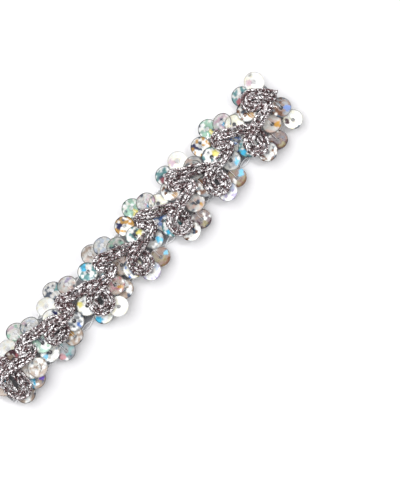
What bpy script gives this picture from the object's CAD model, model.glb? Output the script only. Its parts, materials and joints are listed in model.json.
"""Dresses the sequin trim: its sheer tape, the clear sewing, the shimmering cup sequins and the braid."""

import json
import math

import bpy
import numpy as np
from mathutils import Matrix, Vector
from mathutils.bvhtree import BVHTree


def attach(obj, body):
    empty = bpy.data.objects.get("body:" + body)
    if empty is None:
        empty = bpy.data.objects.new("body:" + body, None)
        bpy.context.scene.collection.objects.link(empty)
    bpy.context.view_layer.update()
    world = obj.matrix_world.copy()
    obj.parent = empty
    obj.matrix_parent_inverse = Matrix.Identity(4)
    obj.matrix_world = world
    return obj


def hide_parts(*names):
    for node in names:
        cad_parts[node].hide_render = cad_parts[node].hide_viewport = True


bl_info = {
    "name": "Sequin Trim",
    "version": (1, 0, 0),
    "blender": (4, 5, 0),
    "location": "3D View > Sidebar > Trim",
    "description": "Builds the looks of a sequin trim round its solids",
    "category": "Object",
}

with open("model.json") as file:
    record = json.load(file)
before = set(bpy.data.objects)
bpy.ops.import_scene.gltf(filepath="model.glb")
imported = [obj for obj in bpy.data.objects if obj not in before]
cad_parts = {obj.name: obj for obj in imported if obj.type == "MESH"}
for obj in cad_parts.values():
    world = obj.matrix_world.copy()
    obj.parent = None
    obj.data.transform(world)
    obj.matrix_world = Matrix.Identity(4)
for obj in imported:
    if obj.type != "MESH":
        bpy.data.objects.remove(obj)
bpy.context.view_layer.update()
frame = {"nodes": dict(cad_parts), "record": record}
NODES = frame["nodes"]

MM = 0.001
BODY = "root"
FAR_OFF = 1.0
GAP = 0.3 * MM

TAPE_LENGTH = 98.0 * MM
TAPE_TOP = 1.0 * MM
TAPE_GRID = (246, 27)
TAPE_FOOT = 0.14 * MM
# The selvedges' small waves and the pull of the sewing: height, and turns for each millimetre.
HEM = 0.12 * MM
HEM_WAVE = (0.10 * MM, 1.9)
PULL = (0.10 * MM, 0.62)
PULL_DOWN = -0.05 * MM
# The selvedge chains: their place across the tape, swing to each side, height and steps.
CHAIN_ACROSS = 4.95 * MM
CHAIN_SWING = 0.5 * MM
CHAIN_HEIGHT = 0.46 * MM
CHAIN_CROSSING = 0.12 * MM
CHAIN_STEP = 0.24 * MM
CHAIN_MARGIN = 0.3 * MM

# The pattern of the right half comes round again after this length, in millimetres.
REPEAT = 26.6

# The braid's route, as its solid has it: turns from left to right, in millimetres.
TURN_COLUMNS = ("side", "along", "across", "spread", "height", "hook_along", "hook_across")
TURNS_LEFT = (
    ("low", -44.8, -5.3, 1.9, 2.7, None, None),
    ("high", -35.4, 3.5, 2.6, 1.4, -36.3, 0.5),
    ("low", -28.9, -2.3, 2.0, 1.2, None, None),
    ("high", -22.3, 3.8, 1.5, 1.5, -22.6, 0.7),
    ("low", -16.2, -5.5, 1.9, 1.9, None, None),
    ("high", -9.0, 3.8, 1.4, 1.5, -8.9, 0.0),
)
TURNS_REPEAT = (
    ("low", -2.8, -5.7, 1.8, 1.8, None, None),
    ("high", 5.4, 4.0, 1.4, 1.5, 5.5, 0.2),
    ("low", 10.6, -5.8, 1.7, 1.7, None, None),
    ("high", 17.6, 5.4, 1.8, 2.3, 19.0, 0.4),
)
BRAID_START = (-48.9, 2.2)
BRAID_END = (48.9, 0.2)
LOW_LOOP = (
    (0.75, 2.3),
    (1.05, 1.25),
    (1.0, 0.1),
    (0.7, -0.75),
    (-0.1, -1.0),
    (-0.9, -0.6),
    (-1.05, 0.3),
    (-0.75, 1.1),
    (0.1, 1.5),
)
HIGH_BEND = ((-1.0, -0.8), (-0.7, -0.1), (0.1, 0.0), (0.95, -0.55))
HOOK = ((-1.1, -0.35), (0.1, 0.35), (-0.6, 1.2))
CURVE_STEPS = 24
BRAID_WIDTH = 2.8 * MM
BRAID_HEIGHT = 1.0 * MM
BRAID_STEP = 0.5 * MM
# So many steps further on, the braid may cross itself.
FAR_ALONG = round(2 * BRAID_WIDTH / BRAID_STEP)
BRAID_EASE = 0.8 * MM
# In a tight turn the inner edge takes this share of the room that the turn leaves there.
TURN_PINCH = 0.85
# The ropes of the braid: name, place across it in half widths, and which way its plies turn.
ROPES = (("left", 0.66, 1), ("middle", 0.0, -1), ("right", -0.66, 1))
ROPE_STEP = 0.15 * MM
PLIES = 4
YARN_SIDES = 8
ROPE_MIDDLE = 0.47
FIRST_PLY_SEED = 40
# How unevenly a ply turns, how far it lies from its rope's middle, in its radius, how unevenly,
# and how unevenly thick it is.
UNEVEN_TURN = 1.2
PLY_AWAY = 1.40
UNEVEN_AWAY = 0.5
UNEVEN_THICK = 0.35

# The shimmer's colours as the eye sees them, and how much of what lies below each one hides.
TINTS = {
    "clear": ((0.93, 0.92, 0.90), 0.50),
    "grey": ((0.58, 0.60, 0.62), 0.70),
    "white": ((0.99, 0.99, 0.98), 0.95),
    "cream": ((0.99, 0.98, 0.90), 0.92),
    "ice": ((0.86, 0.90, 0.96), 0.70),
    "sky": ((0.30, 0.74, 0.90), 0.90),
    "blue": ((0.28, 0.45, 0.74), 0.90),
    "navy": ((0.12, 0.14, 0.34), 0.95),
    "slate": ((0.30, 0.35, 0.42), 0.85),
    "teal": ((0.42, 0.62, 0.63), 0.80),
    "mint": ((0.66, 0.82, 0.74), 0.75),
    "lilac": ((0.76, 0.72, 0.86), 0.70),
    "violet": ((0.48, 0.36, 0.82), 0.90),
    "pink": ((0.90, 0.78, 0.84), 0.70),
    "rose": ((0.70, 0.42, 0.46), 0.85),
    "peach": ((0.90, 0.80, 0.76), 0.60),
    "yellow": ((0.95, 0.90, 0.52), 0.90),
    "amber": ((0.80, 0.60, 0.30), 0.85),
    "olive": ((0.52, 0.47, 0.28), 0.85),
    "tan": ((0.70, 0.62, 0.56), 0.70),
    "brown": ((0.46, 0.31, 0.22), 0.88),
    "plum": ((0.34, 0.24, 0.27), 0.90),
}
# How each sequin shimmers, in the order of the nodes: most of it, some of it, one bright spot,
# the side that the spot is on, in degrees from the trim's length, and how much it is broken up.
LOOK_COLUMNS = ("most", "some", "spot", "side", "lively")
LOOKS_LEFT = (
    ("tan", "grey", "sky", 60, 0.6),
    ("clear", "mint", "pink", 90, 0.4),
    ("white", "cream", "white", 0, 0.1),
    ("clear", "ice", "pink", 100, 0.4),
    ("plum", "tan", "rose", 10, 0.6),
    ("clear", "slate", "teal", -20, 0.7),
    ("white", "cream", "white", 0, 0.1),
    ("clear", "peach", "lilac", 30, 0.4),
    ("white", "cream", "navy", 10, 0.6),
    ("clear", "tan", "peach", 200, 0.3),
    ("clear", "ice", "white", 120, 0.4),
    ("white", "mint", "sky", -60, 0.9),
    ("teal", "white", "sky", 80, 0.9),
    ("clear", "mint", "white", 200, 0.5),
    ("tan", "clear", "white", 240, 0.5),
    ("tan", "sky", "violet", -20, 0.7),
    ("tan", "clear", "peach", 90, 0.5),
    ("grey", "teal", "rose", 190, 0.5),
    ("tan", "clear", "amber", 100, 0.3),
    ("clear", "white", "sky", 180, 0.9),
    ("white", "grey", "blue", -80, 0.8),
    ("mint", "white", "slate", 90, 0.6),
    ("tan", "white", "blue", 60, 0.9),
    ("white", "cream", "sky", 180, 0.4),
    ("white", "cream", "white", 0, 0.1),
    ("tan", "rose", "amber", -60, 0.6),
    ("white", "cream", "yellow", 130, 0.3),
    ("tan", "brown", "peach", 40, 0.5),
)
LOOKS_END = (("cream", "white", "plum", 150, 0.8),)
LOOKS_REPEAT = (
    ("mint", "white", "yellow", -90, 0.8),
    ("clear", "pink", "sky", -80, 0.5),
    ("white", "amber", "navy", 130, 1.0),
    ("white", "teal", "yellow", 0, 0.9),
    ("teal", "white", "rose", 200, 0.6),
    ("white", "cream", "pink", 150, 0.1),
    ("white", "brown", "amber", -90, 0.8),
    ("clear", "grey", "peach", 90, 0.5),
    ("brown", "olive", "sky", 0, 0.15),
    ("white", "lilac", "ice", 0, 0.5),
    ("plum", "brown", "olive", -90, 0.4),
    ("white", "brown", "blue", 70, 0.9),
    ("clear", "peach", "amber", -60, 0.5),
    ("teal", "white", "sky", 180, 0.9),
    ("brown", "grey", "blue", -60, 0.6),
)
# A cup's rings: radius (0 for the hole's edge) and height of the film's middle, in millimetres.
CUP_RINGS = ((0, 0.10), (0.64, 0.11), (0.9, 0.15), (1.2, 0.23), (1.5, 0.31), (1.8, 0.39), (2.1, 0.48),
             (2.27, 0.54), (2.31, 0.56), (2.5, 0.62))
CUP_COLUMNS = 60
# Up to this height, in millimetres, the middle of a cup has no facets.
ROUND_UP_TO = 0.12
FACET_COUNTS = (8, 9, 12)
# Rings of shimmer patches: radius in millimetres, and how many patches lie on it.
PATCH_RINGS = ((0.9, 6), (1.4, 10), (1.85, 14), (2.3, 18))
# How far a patch strays along its ring, in patches, and across it, in millimetres.
STRAY_ALONG = 0.3
STRAY_ACROSS = 0.15
PATCH_REACH = (0.8, 1.25)
# Patches of the second tint, broken ones in the liveliest sequins, and white ones among those.
SOME_SHARE = 0.30
BROKEN_SHARE = 0.26
WHITE_SHARE = 0.62
SHADE_SPREAD = 0.16
# How sharp a patch's edge is in a plain sequin, and how much sharper in the liveliest.
PATCH_EDGE = 6.0
LIVELY_EDGE = 10.0
# Below this liveliness a sequin is plain. How dark its rim is then and otherwise, how much more
# the rim hides, and how dark the edge of the hole is.
PLAIN_BELOW = 0.2
PLAIN_RIM_SHADE = 0.66
RIM_SHADE = 0.30
RIM_COVER = 0.30
HOLE_SHADE = 0.8
# The bright spot of a sequin: how far from its middle, and how far it reaches, in millimetres.
SPOT_RADIUS = 1.5
SPOT_REACH = 0.75
# In the second repeat this sequin would lie past the cut end of the tape.
SKIPPED_LOOK = 7
SLOTS = ("clear", "cream", "tan", "teal", "plum", "pink")
# Sequins between the others and the braid: along, across, rise of the outer edge, look.
INNER_SEQUINS = (
    (10.3, 3.3, 14, ("cream", "white", "cream", 90, 0.2)),
    (36.9, 3.3, 14, ("cream", "white", "cream", 90, 0.2)),
    (22.1, 2.6, 10, ("clear", "grey", "peach", 90, 0.5)),
    (-38.3, -3.4, 8, ("tan", "clear", "white", 30, 0.5)),
    (3.3, -1.9, 4, ("clear", "grey", "sky", -60, 0.6)),
    (30.0, -2.2, 4, ("clear", "grey", "sky", -60, 0.6)),
    (-5.2, -3.4, 6, ("cream", "blue", "yellow", -90, 0.8)),
    (8.1, -0.6, 4, ("clear", "blue", "amber", -90, 0.7)),
    (34.7, -0.6, 4, ("clear", "blue", "amber", -90, 0.7)),
)
FIRST_INNER_SEED = 100
# Where such a sequin is tried against what lies below and above it, and the room it leaves.
TRIED_TURNS = 24
TRIED_HOLE = 0.5
ROOM_BELOW = 0.12 * MM
ROOM_ABOVE = 0.2 * MM
# A stitch from the hole over the film to the tape, in millimetres inwards and upwards.
STITCH = ((0.0, -0.25), (0.0, 0.15), (0.25, 0.34), (0.9, 0.5), (1.7, 0.68), (2.45, 0.82), (2.62, 0.6),
          (2.6, 0.2))
STITCH_MARKS = 22
THREAD_SIDES = 6

# The lights: name, place, width, and power as a share of the key light's.
LIGHTS = (("key", (-0.06, 0.32, 0.58), 0.85, 1.0), ("rim", (0.30, -0.10, 0.50), 0.10, 0.12))
FLOOR_SIZE = 3.0
FLOOR_DROP = 0.02 * MM
# The view from straight above: the picture's height in metres, what its middle looks at, its turn.
VIEW_SPAN = 120.75 * MM
VIEW_MIDDLE = (9.2 * MM, -11.9 * MM, 3.0 * MM)
VIEW_TURN = -46.1
LENS = 100.0
SENSOR = 36.0


def linear(colour):
    """A colour as the eye sees it, as the linear one that a shader takes."""
    return tuple(c / 12.92 if c <= 0.04045 else ((c + 0.055) / 1.055) ** 2.4 for c in colour)


# Shader nodes


class Signal:
    """One output of a node, so that a sum or product of signals is written as Python."""

    def __init__(self, finish, socket):
        self.finish = finish
        self.socket = socket

    def joined(self, operation, first, second):
        """The Math node that joins two values."""
        return self.finish.node("ShaderNodeMath", {"operation": operation}, {0: first, 1: second})

    def __add__(self, other):
        return self.joined("ADD", self, other)

    __radd__ = __add__

    def __sub__(self, other):
        return self.joined("SUBTRACT", self, other)

    def __rsub__(self, other):
        return self.joined("SUBTRACT", other, self)

    def __mul__(self, other):
        return self.joined("MULTIPLY", self, other)

    __rmul__ = __mul__


class Finish:
    """A material whose Principled shader is fed by signals."""

    def __init__(self, name, constants=None):
        self.material = bpy.data.materials.new(name)
        self.material.use_nodes = True
        self.tree = self.material.node_tree
        self.shader = self.tree.nodes["Principled BSDF"]
        for socket, value in (constants or {}).items():
            self.shader.inputs[socket].default_value = value

    def node(self, kind, settings=None, inputs=None, output=0):
        """Adds a node: its settings first, then the values or links of its sockets."""
        made = self.tree.nodes.new(kind)
        for key, value in (settings or {}).items():
            if key == "stops":
                ramp = made.color_ramp.elements
                ramp[0].position, ramp[0].color = value[0][0], (*value[0][1], 1.0)
                ramp[1].position, ramp[1].color = value[-1][0], (*value[-1][1], 1.0)
                for place, colour in value[1:-1]:
                    ramp.new(place).color = (*colour, 1.0)
            else:
                setattr(made, key, value)
        for key, value in (inputs or {}).items():
            if isinstance(value, Signal):
                self.tree.links.new(value.socket, made.inputs[key])
            else:
                made.inputs[key].default_value = value
        return Signal(self, made.outputs[output])

    def ramp(self, value, stops):
        """Turns a value into a colour, or a grey."""
        return self.node("ShaderNodeValToRGB", {"stops": stops}, {"Fac": value})

    def mix(self, factor, first, second, kind="MIX"):
        """A colour between two others."""
        return self.node("ShaderNodeMix", {"data_type": "RGBA", "blend_type": kind},
                         {0: factor, 6: first, 7: second}, output=2)

    def noise(self, scale, detail=2.0, vector=None):
        """A soft random value over the piece."""
        inputs = {"Scale": scale, "Detail": detail}
        inputs["Vector"] = vector or self.node("ShaderNodeTexCoord", output=3)
        return self.node("ShaderNodeTexNoise", None, inputs)

    def bump(self, height, depth, strength=1.0):
        """Feeds a relief of that depth to the shader."""
        made = self.node("ShaderNodeBump", None, {"Height": height, "Distance": depth,
                                                  "Strength": strength})
        self.feed("Normal", made)

    def feed(self, socket, signal):
        """Links a signal to the shader."""
        self.tree.links.new(signal.socket, self.shader.inputs[socket])


# Meshes


class Stock:
    """Corners and four-sided faces gathered into one mesh."""

    def __init__(self):
        self.corners = []
        self.faces = []
        self.places = []
        self.colours = []
        self.count = 0

    def add(self, corners, faces, places=None, colours=None):
        """Adds corners, faces, and for each face's corners a place on it and a colour."""
        self.corners.append(np.asarray(corners, float).reshape(-1, 3))
        self.faces.append(np.asarray(faces, int) + self.count)
        self.count += len(self.corners[-1])
        if places is not None:
            self.places.append(np.asarray(places, float).reshape(-1, 2))
        if colours is not None:
            self.colours.append(np.asarray(colours, float).reshape(-1, 4))

    def piece(self, name, finish, smooth):
        """Makes the gathered mesh an object that rides on the trim."""
        corners = np.concatenate(self.corners).astype(np.float32)
        faces = np.concatenate(self.faces).astype(np.int32)
        mesh = bpy.data.meshes.new(name)
        mesh.vertices.add(len(corners))
        mesh.vertices.foreach_set("co", corners.ravel())
        mesh.loops.add(faces.size)
        mesh.loops.foreach_set("vertex_index", faces.ravel())
        mesh.polygons.add(len(faces))
        mesh.polygons.foreach_set("loop_start", np.arange(0, faces.size, 4, dtype=np.int32))
        mesh.update(calc_edges=True)
        mesh.polygons.foreach_set("use_smooth", np.full(len(faces), smooth))
        if self.places:
            layer = mesh.uv_layers.new(name="yarn")
            layer.data.foreach_set("uv", np.concatenate(self.places).astype(np.float32).ravel())
        if self.colours:
            tint = mesh.color_attributes.new("shimmer", "FLOAT_COLOR", "CORNER")
            tint.data.foreach_set("color", np.concatenate(self.colours).astype(np.float32).ravel())
        mesh.materials.append(finish.material)
        made = bpy.data.objects.new(name, mesh)
        bpy.context.scene.collection.objects.link(made)
        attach(made, BODY)
        return made


def unit(vectors):
    """The vectors at length one."""
    return vectors / np.maximum(np.linalg.norm(vectors, axis=-1, keepdims=True), 1e-12)


def run_along(path):
    """The distance run at each point of a path."""
    return np.concatenate(([0.0], np.cumsum(np.linalg.norm(np.diff(path, axis=0), axis=1))))


def tube(stock, path, radius, sides, reference=(0.0, 0.0, 1.0)):
    """Adds a closed round tube along a path. Its places are round it and along it in mm."""
    path = np.asarray(path, float)
    ahead = unit(np.gradient(path, axis=0))
    across = unit(np.cross(ahead, reference))
    upward = np.cross(across, ahead)
    turn = np.arange(sides) * math.tau / sides
    rings = across[:, None] * np.cos(turn)[:, None] + upward[:, None] * np.sin(turn)[:, None]
    corners = path[:, None] + rings * (np.zeros(len(path)) + radius)[:, None, None]
    count = len(path)
    run = run_along(path) / MM
    i = np.arange(count - 1)[:, None]
    k = np.arange(sides)[None, :]
    near, far = i * sides, (i + 1) * sides
    step = (k + 1) % sides
    faces = np.stack((near + k, near + step, far + step, far + k), -1).reshape(-1, 4)
    round_it = np.broadcast_to(k / sides, (count - 1, sides))
    here = np.broadcast_to(run[:-1, None], (count - 1, sides))
    there = np.broadcast_to(run[1:, None], (count - 1, sides))
    places = np.stack((round_it, here, round_it + 1 / sides, here,
                       round_it + 1 / sides, there, round_it, there), -1).reshape(-1, 2)
    caps = []
    for first, order in ((0, -1), ((count - 1) * sides, 1)):
        for j in range(1, sides - 2, 2):
            caps.append([first, first + j, first + j + 1, first + j + 2][::order])
    cap_places = np.full((len(caps) * 4, 2), 0.5)
    stock.add(corners, np.concatenate((faces, caps)), np.concatenate((places, cap_places)))


# The braid's route


def turn_points(row):
    """The braid's route round one turn, in millimetres."""
    turn = dict(zip(TURN_COLUMNS, row))
    along, across = turn["along"], turn["across"]
    spread, height = turn["spread"], turn["height"]
    if turn["side"] == "low":
        return [(along + spread * u, across + height * (1 + v)) for u, v in LOW_LOOP]
    hook = [(turn["hook_along"] + u, turn["hook_across"] + v) for u, v in HOOK]
    return hook + [(along + spread * u, across + height * v) for u, v in HIGH_BEND]


def route_points():
    """The points that the braid is laid through, in metres."""
    points = [BRAID_START]
    for row in TURNS_LEFT:
        points += turn_points(row)
    for turn in range(2):
        for row in TURNS_REPEAT:
            points += [(x + turn * REPEAT, y) for x, y in turn_points(row)]
    points.append(BRAID_END)
    return np.array(points) * MM


def smooth_route(points):
    """A centripetal Catmull-Rom curve through the points, as closely spaced points."""
    held = np.concatenate(([points[0] * 2 - points[1]], points, [points[-1] * 2 - points[-2]]))
    out = []
    for p0, p1, p2, p3 in zip(held, held[1:], held[2:], held[3:]):
        t0 = 0.0
        t1 = t0 + math.sqrt(math.dist(p1, p0))
        t2 = t1 + math.sqrt(math.dist(p2, p1))
        t3 = t2 + math.sqrt(math.dist(p3, p2))
        t = t1 + (t2 - t1) * np.arange(CURVE_STEPS)[:, None] / CURVE_STEPS
        a1 = (p0 * (t1 - t) + p1 * (t - t0)) / (t1 - t0)
        a2 = (p1 * (t2 - t) + p2 * (t - t1)) / (t2 - t1)
        a3 = (p2 * (t3 - t) + p3 * (t - t2)) / (t3 - t2)
        b1 = (a1 * (t2 - t) + a2 * (t - t0)) / (t2 - t0)
        b2 = (a2 * (t3 - t) + a3 * (t - t1)) / (t3 - t1)
        out.append((b1 * (t2 - t) + b2 * (t - t1)) / (t2 - t1))
    return np.concatenate((*out, [points[-1]]))


def even_route(step):
    """The route as points a step apart, with the distance run at each."""
    dense = smooth_route(route_points())
    run = run_along(dense)
    marks = np.arange(0.0, run[-1], step)
    return np.stack([np.interp(marks, run, dense[:, axis]) for axis in (0, 1)], -1), marks


def smoothed(values, reach):
    """A moving mean over that many values to each side."""
    window = np.hanning(2 * reach + 3)[1:-1]
    ends = [(reach, reach)] + [(0, 0)] * (values.ndim - 1)
    held = np.pad(values, ends, mode="edge")
    columns = held.reshape(len(held), -1).T
    out = [np.convolve(column, window / window.sum(), "valid") for column in columns]
    return np.array(out).T.reshape(values.shape)


def eased(values):
    """The heights raised and smoothed along the braid, nowhere lower than they were."""
    window = round(BRAID_EASE / BRAID_STEP)
    spans = [slice(max(i - window, 0), i + window + 1) for i in range(len(values))]
    widest = [max(values[span]) for span in spans]
    return [sum(widest[span]) / len(widest[span]) for span in spans]


def sideways(route):
    """Each point's sideways direction."""
    ahead = unit(np.gradient(route, axis=0))
    return np.stack((-ahead[:, 1], ahead[:, 0]), -1)


class Pile:
    """The sequins laid so far, which say how high what comes next rests."""

    def __init__(self, names):
        self.corners = []
        self.faces = []
        for name in names:
            mesh = NODES[name].data
            self.lay([vert.co.copy() for vert in mesh.vertices],
                     [list(face.vertices) for face in mesh.polygons])
        self.tree = BVHTree.FromPolygons(self.corners, self.faces)

    def lay(self, corners, faces):
        """Adds a piece."""
        first = len(self.corners)
        self.corners.extend(corners)
        self.faces.extend([first + i for i in face] for face in faces)

    def top(self, x, y):
        """The height of the pile at a place."""
        hit = self.tree.ray_cast(Vector((x, y, FAR_OFF)), Vector((0, 0, -1)))[0]
        return TAPE_TOP if hit is None else max(hit.z, TAPE_TOP)


def sequin_nodes():
    """The names of the sequins' solids, in the order they were laid."""
    return sorted(name for name in NODES if name.startswith("sequin"))


def room_beside(route, sides, i):
    """How far the braid may spread to its left and right before its own turn fills the room."""
    apart = route[max(i - FAR_ALONG, 0):i + FAR_ALONG + 1] - route[i]
    leftwards = apart @ sides[i]
    radii = (apart ** 2).sum(1) / np.maximum(2 * abs(leftwards), 1e-12)
    return [min(radii[leftwards * hand > 0], default=math.inf) for hand in (1, -1)]


def braid_run(pile):
    """A step apart: the braid's spread to its left and right, and how high it runs over the pile."""
    route, marks = even_route(BRAID_STEP)
    sides = sideways(route)
    room = [room_beside(route, sides, i) for i in range(len(route))]
    spread = np.minimum(np.array(room) * TURN_PINCH, BRAID_WIDTH / 2)
    under = []
    for point, side in zip(route, sides):
        ahead = np.array((side[1], -side[0])) * (BRAID_STEP / 2)
        spots = [point + side * (BRAID_WIDTH / 2 * u) + ahead * v
                 for u in (-1.0, -0.5, 0.0, 0.5, 1.0) for v in (-1, 0, 1)]
        under.append(max(pile.top(*spot) for spot in spots) + GAP)
    low = eased(under)
    beside = BRAID_WIDTH + BRAID_STEP / 2
    over = []
    for i, point in enumerate(route):
        crossed = [low[j] + BRAID_HEIGHT + GAP for j in range(max(i - FAR_ALONG, 0))
                   if math.dist(route[j], point) < beside]
        over.append(max([low[i], *crossed]))
    return marks, spread, np.array(eased(over))


# Pieces


class TrimTape(bpy.types.PropertyGroup):
    """Sizes and colour of the tape."""

    width: bpy.props.FloatProperty(
        name="Width", description="Flat width of the tape", default=0.0104, unit="LENGTH", precision=4)
    arch: bpy.props.FloatProperty(
        name="Arch", description="How far its middle is drawn up by the sewing", default=0.00068,
        unit="LENGTH", precision=5)
    colour: bpy.props.FloatVectorProperty(
        name="Colour", description="Colour of the sheer cloth", default=(0.22, 0.22, 0.24),
        subtype="COLOR", min=0.0, max=1.0)


class TrimSewing(bpy.types.PropertyGroup):
    """Sizes of the clear threads."""

    thread: bpy.props.FloatProperty(
        name="Thread", description="Radius of the clear thread", default=0.00009, unit="LENGTH",
        precision=5)
    chain: bpy.props.FloatProperty(
        name="Chain", description="Length of one link of the selvedge chain", default=0.0037,
        unit="LENGTH", precision=4)


class TrimSequins(bpy.types.PropertyGroup):
    """Sizes of the cup sequins."""

    radius: bpy.props.FloatProperty(
        name="Radius", description="Outer radius of a sequin", default=0.0025, unit="LENGTH",
        precision=4)
    hole: bpy.props.FloatProperty(
        name="Hole", description="Radius of its hole", default=0.0005, unit="LENGTH", precision=4)
    film: bpy.props.FloatProperty(
        name="Film", description="Thickness of the clear film", default=0.00012, unit="LENGTH",
        precision=5)


class TrimBraid(bpy.types.PropertyGroup):
    """Sizes and colours of the braid."""

    ply: bpy.props.FloatProperty(
        name="Ply", description="Radius of one ply of yarn", default=0.00020, unit="LENGTH",
        precision=5)
    lay: bpy.props.FloatProperty(
        name="Lay", description="Length in which a ply goes once round its rope", default=0.0022,
        unit="LENGTH", precision=4)
    dark: bpy.props.FloatVectorProperty(
        name="Dark yarn", description="Colour of the yarn between its glints",
        default=(0.030, 0.024, 0.027), subtype="COLOR", min=0.0, max=1.0)
    bright: bpy.props.FloatVectorProperty(
        name="Bright yarn", description="Colour of the metallic strip round the yarn",
        default=(1.0, 1.0, 1.0), subtype="COLOR", min=0.0, max=1.0)


class TrimStage(bpy.types.PropertyGroup):
    """Floor, light and view."""

    floor: bpy.props.FloatVectorProperty(
        name="Floor", description="Colour of the plain floor", default=(0.735, 0.73, 0.745),
        subtype="COLOR", min=0.0, max=1.0)
    key: bpy.props.FloatProperty(
        name="Key light", description="Power of the large soft light", default=7.0, unit="POWER")
    fill: bpy.props.FloatProperty(
        name="Fill light", description="Strength of the light from all round", default=0.43)


def clear_thread():
    """Clear nylon thread."""
    finish = Finish("clear nylon thread", {"IOR": 1.53, "Alpha": 0.75, "Coat Weight": 0.6,
                                           "Coat Roughness": 0.08})
    grain = finish.noise(2600.0, 2.0)
    finish.feed("Base Color", finish.ramp(grain, ((0.3, (0.80, 0.81, 0.84)), (0.7, (1.0, 1.0, 1.0)))))
    finish.feed("Roughness", finish.ramp(grain, ((0.3, (0.15,) * 3), (0.8, (0.4,) * 3))))
    return finish


class TRIM_OT_tape(bpy.types.Operator):
    """Lays the sheer tape, drawn up along its middle by the sewing"""

    bl_idname = "trim.tape"
    bl_label = "Lay Tape"

    def execute(self, context):
        size = context.scene.trim_tape
        along, across = TAPE_GRID
        u = np.linspace(-1, 1, along)[:, None]
        v = np.linspace(-1, 1, across)[None, :]
        half = size.width / 2 - HEM
        x = u * TAPE_LENGTH / 2 + 0 * v
        wave = HEM_WAVE[0] * np.sin(x / MM * HEM_WAVE[1] + 1.3 * np.sign(v)) * np.abs(v) ** 3
        y = v * half + wave
        pull = PULL[0] * np.sin(x / MM * PULL[1]) * np.cos(v * 3.1)
        z = TAPE_FOOT + size.arch * (1 - np.abs(v) ** 2.2) + np.maximum(pull, PULL_DOWN)
        stock = Stock()
        i = np.arange(along - 1)[:, None] * across
        k = np.arange(across - 1)[None, :]
        faces = np.stack((i + k, i + across + k, i + across + k + 1, i + k + 1), -1).reshape(-1, 4)
        where = np.stack((x / MM, y / MM), -1).reshape(-1, 2)
        stock.add(np.stack((x, y, z), -1), faces, where[faces.ravel()])
        finish = Finish("sheer nylon tape", {"Roughness": 0.5, "Sheen Weight": 0.25})
        place = finish.node("ShaderNodeUVMap", {"uv_map": "yarn"})
        warp = finish.node("ShaderNodeTexWave", {"bands_direction": "X"},
                           {"Vector": place, "Scale": 1.1, "Distortion": 0.6})
        weft = finish.node("ShaderNodeTexWave", {"bands_direction": "Y"},
                           {"Vector": place, "Scale": 1.1, "Distortion": 0.6})
        cloth = finish.noise(160.0, 3.0)
        shade = finish.ramp(cloth, ((0.35, (0.82,) * 3), (0.65, (1.0,) * 3)))
        colour = (*size.colour, 1.0)
        finish.feed("Base Color", finish.mix(1.0, colour, shade, "MULTIPLY"))
        across_it = finish.node("ShaderNodeSeparateXYZ", None, {"Vector": place}, output=1)
        out = finish.node("ShaderNodeMath", {"operation": "ABSOLUTE"}, {0: across_it})
        dense = finish.node("ShaderNodeMapRange", {"clamp": True}, {
            "Value": out, "From Min": 4.0, "From Max": 4.6, "To Min": 1.0, "To Max": 0.35})
        finish.feed("Alpha", dense * (0.78 + 0.18 * (warp * weft)))
        finish.bump(warp + weft, 0.03 * MM)
        sheet = stock.piece("tape_sheet", finish, True)
        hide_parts("tape")
        return {"FINISHED"}


class TRIM_OT_sewing(bpy.types.Operator):
    """Sews the clear chain along both selvedges"""

    bl_idname = "trim.sewing"
    bl_label = "Sew Selvedges"

    def execute(self, context):
        size = context.scene.trim_sewing
        stock = Stock()
        end = TAPE_LENGTH / 2 - CHAIN_MARGIN
        x = np.arange(-end, end, CHAIN_STEP)
        for edge in (-1, 1):
            for strand in (-1, 1):
                turn = x * math.tau / (2 * size.chain) + edge * 0.7
                y = edge * CHAIN_ACROSS + strand * CHAIN_SWING * np.sin(turn)
                z = CHAIN_HEIGHT + strand * CHAIN_CROSSING * np.cos(turn) + 0.05 * MM * np.sin(x / MM * 0.9)
                tube(stock, np.stack((x, y, z), -1), size.thread * 1.6, THREAD_SIDES)
        chain = stock.piece("selvedge_chains", clear_thread(), True)
        return {"FINISHED"}


def cup_pose(name):
    """A sequin's place and directions, from its solid: its lowest point on the axis and its axes."""
    corners = np.array([vert.co for vert in NODES[name].data.vertices])
    corners = np.unique(np.round(corners, 6), axis=0)
    middle = corners.mean(0)
    axis = np.linalg.eigh(np.cov((corners - middle).T))[1][:, 0]
    axis = axis * np.sign(axis[2])
    foot = middle + axis * ((corners - middle) @ axis).min()
    first = unit(np.cross((0.0, 1.0, 0.0), axis))
    return foot, first, np.cross(axis, first), axis


def cup_rings(size, sides, spin):
    """The film's middle surface as rings of corners: pressed flat facets and a steeper lip."""
    turn = np.arange(CUP_COLUMNS) * math.tau / CUP_COLUMNS
    wedge = math.tau / sides
    off = (turn - spin) % wedge - wedge / 2
    flatness = np.cos(off) / math.cos(wedge / 4)
    foot = CUP_RINGS[0][1]
    rings = []
    for radius, height in CUP_RINGS:
        at = radius if radius else size.hole / MM
        at = size.radius / MM if radius == CUP_RINGS[-1][0] else at
        facets = flatness if height > ROUND_UP_TO else 1.0
        lift = foot + (height - foot) * facets * np.ones(CUP_COLUMNS)
        rings.append(np.stack((at * np.cos(turn), at * np.sin(turn), lift), -1) * MM)
    return np.array(rings)


def tinted(word):
    """A tint's linear colour with the share that it hides."""
    colour, cover = TINTS[word]
    return np.array((*linear(colour), cover))


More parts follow.
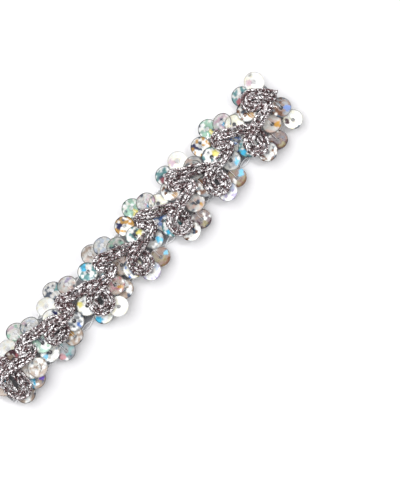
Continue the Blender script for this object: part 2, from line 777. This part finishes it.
def patches(look, rng):
    """The shimmer's patches: for each its place in millimetres, its reach and its colour."""
    out = []
    side = math.radians(look["side"])
    bright = (SPOT_RADIUS * math.cos(side), SPOT_RADIUS * math.sin(side))
    for radius, count in PATCH_RINGS:
        start = rng.uniform(0, math.tau)
        for k in range(count):
            turn = start + (k + rng.uniform(-STRAY_ALONG, STRAY_ALONG)) * math.tau / count
            place = radius + rng.uniform(-STRAY_ACROSS, STRAY_ACROSS)
            x, y = place * math.cos(turn), place * math.sin(turn)
            luck = rng.random()
            word = look["most"]
            if luck < SOME_SHARE:
                word = look["some"]
            if luck > 1 - BROKEN_SHARE * look["lively"]:
                word = "white" if rng.random() < WHITE_SHARE else "slate"
            if math.dist((x, y), bright) < SPOT_REACH:
                word = look["spot"]
            shade = tinted(word)
            shade[:3] *= 1 + look["lively"] * rng.normal(0, SHADE_SPREAD)
            out.append((x, y, rng.uniform(*PATCH_REACH), shade))
    return out


def add_cup(stock, size, pose, look, seed):
    """Adds one cup sequin of pressed clear film, with its patches of shimmer."""
    rng = np.random.default_rng(seed)
    sides = int(rng.choice(FACET_COUNTS))
    spin = float(rng.uniform(0, math.tau))
    rings = cup_rings(size, sides, spin)
    foot, first, second, axis = pose
    half = size.film / 2
    tall = len(rings)
    around = np.concatenate((rings + (0, 0, half), rings[::-1] - (0, 0, half)))
    corners = foot + around @ np.array((first, second, axis))
    flat = rings[..., :2].reshape(-1, 2) / MM
    found = patches(look, rng)
    near = np.array([np.hypot(flat[:, 0] - x, flat[:, 1] - y) / reach for x, y, reach, _ in found])
    weight = np.exp(-near * (PATCH_EDGE + LIVELY_EDGE * look["lively"]))
    weight /= weight.sum(0)
    shade = np.einsum("pc,pk->ck", weight, np.array([p[3] for p in found]))
    shade = shade.reshape(tall, CUP_COLUMNS, 4)
    dark = PLAIN_RIM_SHADE if look["lively"] < PLAIN_BELOW else RIM_SHADE
    shade[-2:, :, :3] *= dark
    shade[-2:, :, 3] = np.minimum(shade[-2:, :, 3] + RIM_COVER, 1.0)
    shade[:2, :, :3] *= HOLE_SHADE
    shade = np.concatenate((shade, shade[::-1]))
    k = np.arange(CUP_COLUMNS)
    step = (k + 1) % CUP_COLUMNS
    faces = []
    for row in range(2 * tall):
        here, there = row * CUP_COLUMNS, (row + 1) % (2 * tall) * CUP_COLUMNS
        faces.append(np.stack((here + k, there + k, there + step, here + step), -1))
    faces = np.concatenate(faces)
    stock.add(corners, faces, None, shade.reshape(-1, 4)[faces.ravel()])


def inner_pose(pile, braid, along, across, rise):
    """The pose of a sequin that rests on the pile, pressed down where the braid runs over it."""
    tilt = math.radians(rise) * (1 if across > 0 else -1)
    first = np.array((1.0, 0.0, 0.0))
    second = np.array((0.0, math.cos(tilt), math.sin(tilt)))
    axis = np.cross(first, second)
    lift = 0.0
    room = FAR_OFF
    for radius, height in CUP_RINGS:
        for turn in np.arange(TRIED_TURNS) * math.tau / TRIED_TURNS:
            outwards = first * math.cos(turn) + second * math.sin(turn)
            spot = outwards * max(radius, TRIED_HOLE) + axis * height
            spot = spot * MM + (along * MM, across * MM, 0.0)
            lift = max(lift, pile.top(spot[0], spot[1]) + ROOM_BELOW - spot[2])
            over = braid.ray_cast(Vector((spot[0], spot[1], -FAR_OFF)), Vector((0, 0, 1)))[0]
            if over is not None:
                room = min(room, over.z - ROOM_ABOVE - spot[2])
    lift = max(min(lift, room), TAPE_TOP)
    return np.array((along * MM, across * MM, lift)), first, second, axis


def shimmer_film():
    """Clear pressed film with a rainbow shimmer that changes from patch to patch."""
    finish = Finish("clear shimmering film", {
        "IOR": 1.57, "Coat Weight": 0.6, "Coat Roughness": 0.05, "Coat IOR": 1.55})
    tint = finish.node("ShaderNodeVertexColor", {"layer_name": "shimmer"})
    cover = finish.node("ShaderNodeVertexColor", {"layer_name": "shimmer"}, output=1)
    drift = finish.noise(1300.0, 1.0)
    rainbow = finish.ramp(drift, (
        (0.30, (0.72, 0.62, 0.60)), (0.42, (0.98, 0.95, 0.84)), (0.50, (1.0, 1.0, 1.0)),
        (0.58, (0.76, 0.93, 0.96)), (0.70, (0.74, 0.70, 0.92))))
    finish.feed("Base Color", finish.mix(0.35, tint, rainbow, "MULTIPLY"))
    finish.feed("Alpha", cover)
    finish.feed("Roughness", finish.ramp(finish.noise(2200.0, 3.0),
                                         ((0.35, (0.08,) * 3), (0.75, (0.26,) * 3))))
    finish.bump(finish.noise(1400.0, 2.0), 0.06 * MM, 0.7)
    return finish


class TRIM_OT_sequins(bpy.types.Operator):
    """Lays the clear cup sequins where their solids are"""

    bl_idname = "trim.sequins"
    bl_label = "Lay Sequins"

    def execute(self, context):
        size = context.scene.trim_sequins
        slots = {row["node"]: row["material_slot"] for row in frame["record"]["subparts"]}
        second = LOOKS_REPEAT[:SKIPPED_LOOK] + LOOKS_REPEAT[SKIPPED_LOOK + 1:]
        rows = (*LOOKS_LEFT, *LOOKS_END, *LOOKS_REPEAT, *second)
        names = sequin_nodes()
        if len(names) != len(rows):
            raise ValueError(f"{len(names)} sequins have {len(rows)} looks")
        film = shimmer_film()
        for tone in SLOTS:
            stock = Stock()
            laid = []
            for number, (name, row) in enumerate(zip(names, rows), start=1):
                if slots[name] == f"sequin_{tone}":
                    add_cup(stock, size, cup_pose(name), dict(zip(LOOK_COLUMNS, row)), number)
                    laid.append(name)
            piece = stock.piece(f"cups_{tone}", film, False)
            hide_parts(*laid)
        pile = Pile(names)
        braid = Pile(["braid"]).tree
        stock = Stock()
        for number, (along, across, rise, row) in enumerate(INNER_SEQUINS):
            pose = inner_pose(pile, braid, along, across, rise)
            add_cup(stock, size, pose, dict(zip(LOOK_COLUMNS, row)), FIRST_INNER_SEED + number)
        inner = stock.piece("cups_inner", film, False)
        return {"FINISHED"}


class TRIM_OT_stitches(bpy.types.Operator):
    """Sews each sequin down with a clear stitch through its hole"""

    bl_idname = "trim.stitches"
    bl_label = "Sew Sequins"

    def execute(self, context):
        size = context.scene.trim_sewing
        stock = Stock()
        for name in sequin_nodes():
            foot, first, second, axis = cup_pose(name)
            inwards = -np.sign(foot[1]) * unit(second - axis * second[2])
            reach, lift = np.array(STITCH).T * MM
            path = foot + reach[:, None] * inwards + lift[:, None] * axis
            marks = np.linspace(0, len(path) - 1, STITCH_MARKS)
            path = np.stack([np.interp(marks, np.arange(len(path)), path[:, n]) for n in range(3)], -1)
            tube(stock, smoothed(path, 1), size.thread * 0.6, THREAD_SIDES, tuple(first))
        threads = stock.piece("sequin_stitches", clear_thread(), True)
        return {"FINISHED"}


def metallic_yarn(size):
    """Dark yarn with a bright metallic strip that shows as small irregular flecks."""
    finish = Finish("metallic yarn")
    place = finish.node("ShaderNodeUVMap", {"uv_map": "yarn"})
    drawn_out = finish.node("ShaderNodeVectorMath", {"operation": "MULTIPLY"},
                            {0: place, 1: (5.5, 1.9, 1.0)})
    fleck = 0.4 * finish.noise(2900.0, 1.5) + 0.6 * finish.noise(1.0, 1.5, drawn_out)
    tone = finish.noise(420.0, 2.0)
    worn = finish.noise(900.0, 2.0)
    cover = finish.node("ShaderNodeMapRange", {"clamp": True},
                        {"Value": fleck + 0.35 * worn, "From Min": 0.675, "From Max": 0.730})
    brown = finish.mix(tone, (*size.dark, 1.0), (0.20, 0.112, 0.115, 1.0))
    bright = finish.mix(tone, (*size.bright, 1.0), (0.78, 0.75, 0.77, 1.0))
    finish.feed("Base Color", finish.mix(cover, brown, bright))
    finish.feed("Roughness", 0.48 - 0.16 * cover)
    finish.feed("Metallic", 0.90 - 0.22 * cover)
    finish.bump(fleck, 0.10 * MM, 1.0)
    return finish


class TRIM_OT_braid(bpy.types.Operator):
    """Twists the three ropes of the braid along its route"""

    bl_idname = "trim.braid"
    bl_label = "Lay Braid"

    def execute(self, context):
        size = context.scene.trim_braid
        marks, spread, heights = braid_run(Pile(sequin_nodes()))
        route, run = even_route(ROPE_STEP)
        kept = run <= marks[-1]
        route, run = route[kept], run[kept]
        height = smoothed(np.interp(run, marks, heights), 4)
        sides = unit(smoothed(sideways(route), 2))
        yarn = metallic_yarn(size)
        for name, across, hand in ROPES:
            offset = across * np.interp(run, marks, spread[:, 0 if across > 0 else 1])
            offset = smoothed(offset, 3)
            middle = np.column_stack((route + sides * offset[:, None], height + BRAID_HEIGHT * ROPE_MIDDLE))
            ahead = unit(np.gradient(middle, axis=0))
            aside = unit(np.cross((0.0, 0.0, 1.0), ahead))
            upward = np.cross(ahead, aside)
            path_run = run_along(middle)
            stock = Stock()
            for ply in range(PLIES):
                rng = np.random.default_rng(ply + 10 * hand + FIRST_PLY_SEED)
                turn = hand * path_run * math.tau / size.lay + math.tau * (ply / PLIES + across)
                turn = turn + smoothed(rng.normal(0, UNEVEN_TURN, len(turn)), 5)
                away = size.ply * (PLY_AWAY + smoothed(rng.normal(0, UNEVEN_AWAY, len(turn)), 4))
                path = middle + aside * (np.cos(turn) * away)[:, None]
                path = path + upward * (np.sin(turn) * away)[:, None]
                thick = size.ply * (1 + smoothed(rng.normal(0, UNEVEN_THICK, len(turn)), 3))
                tube(stock, path, thick, YARN_SIDES)
            rope = stock.piece(f"rope_{name}", yarn, True)
            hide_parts("braid")
        return {"FINISHED"}


class TRIM_OT_stage(bpy.types.Operator):
    """Sets the plain floor, the soft light and the view"""

    bl_idname = "trim.stage"
    bl_label = "Set Stage"

    def execute(self, context):
        size = context.scene.trim_stage
        scene = context.scene
        bpy.ops.mesh.primitive_plane_add(size=FLOOR_SIZE, location=(0, 0, -FLOOR_DROP))
        floor = context.object
        floor.name = "floor"
        plain = Finish("plain floor", {"Roughness": 0.9, "Specular IOR Level": 0.1,
                                       "Base Color": (*size.floor, 1.0)})
        floor.data.materials.append(plain.material)
        world = bpy.data.worlds.new("soft room")
        scene.world = world
        world.use_nodes = True
        room = world.node_tree.nodes["Background"]
        room.inputs["Color"].default_value = (1.0, 1.0, 1.0, 1.0)
        room.inputs["Strength"].default_value = size.fill
        for name, place, wide, share in LIGHTS:
            lamp = bpy.data.lights.new(name, "AREA")
            lamp.energy = size.key * share
            lamp.size = wide
            light = bpy.data.objects.new(name, lamp)
            scene.collection.objects.link(light)
            light.location = place
            light.rotation_mode = "QUATERNION"
            light.rotation_quaternion = (-Vector(place)).to_track_quat("-Z", "Y")
        camera = bpy.data.cameras.new("view")
        camera.lens = LENS
        camera.sensor_width = SENSOR
        camera.clip_start, camera.clip_end = 0.01, 10.0
        eye = bpy.data.objects.new("view", camera)
        scene.collection.objects.link(eye)
        x, y, z = VIEW_MIDDLE
        eye.location = (x, y, VIEW_SPAN * LENS / SENSOR + z)
        eye.rotation_euler = (0.0, 0.0, math.radians(VIEW_TURN))
        scene.camera = eye
        scene.view_settings.view_transform = "Standard"
        return {"FINISHED"}


class TRIM_PT_panel(bpy.types.Panel):
    """The trim's sizes, colours and steps"""

    bl_idname = "TRIM_PT_panel"
    bl_label = "Sequin Trim"
    bl_space_type = "VIEW_3D"
    bl_region_type = "UI"
    bl_category = "Trim"

    def draw(self, context):
        for key, group in GROUPS.items():
            box = self.layout.box()
            box.label(text=group.__doc__)
            for name in group.__annotations__:
                box.prop(getattr(context.scene, key), name)
        for step in STEPS:
            self.layout.operator(step.bl_idname)


GROUPS = {
    "trim_tape": TrimTape,
    "trim_sewing": TrimSewing,
    "trim_sequins": TrimSequins,
    "trim_braid": TrimBraid,
    "trim_stage": TrimStage,
}
STEPS = (TRIM_OT_tape, TRIM_OT_sewing, TRIM_OT_sequins, TRIM_OT_stitches, TRIM_OT_braid, TRIM_OT_stage)
CLASSES = (*GROUPS.values(), *STEPS, TRIM_PT_panel)


def register():
    """Makes the classes and the scene's settings known to Blender."""
    for made in CLASSES:
        bpy.utils.register_class(made)
    for key, group in GROUPS.items():
        setattr(bpy.types.Scene, key, bpy.props.PointerProperty(type=group))


def unregister():
    """Takes them back."""
    for key in GROUPS:
        delattr(bpy.types.Scene, key)
    for made in reversed(CLASSES):
        bpy.utils.unregister_class(made)


def main():
    """Builds every piece in order and writes the sizes of the solids and of the looks."""
    register()
    bpy.ops.trim.tape()
    bpy.ops.trim.sewing()
    bpy.ops.trim.sequins()
    bpy.ops.trim.stitches()
    bpy.ops.trim.braid()
    bpy.ops.trim.stage()


if __name__ == "__main__":
    main()
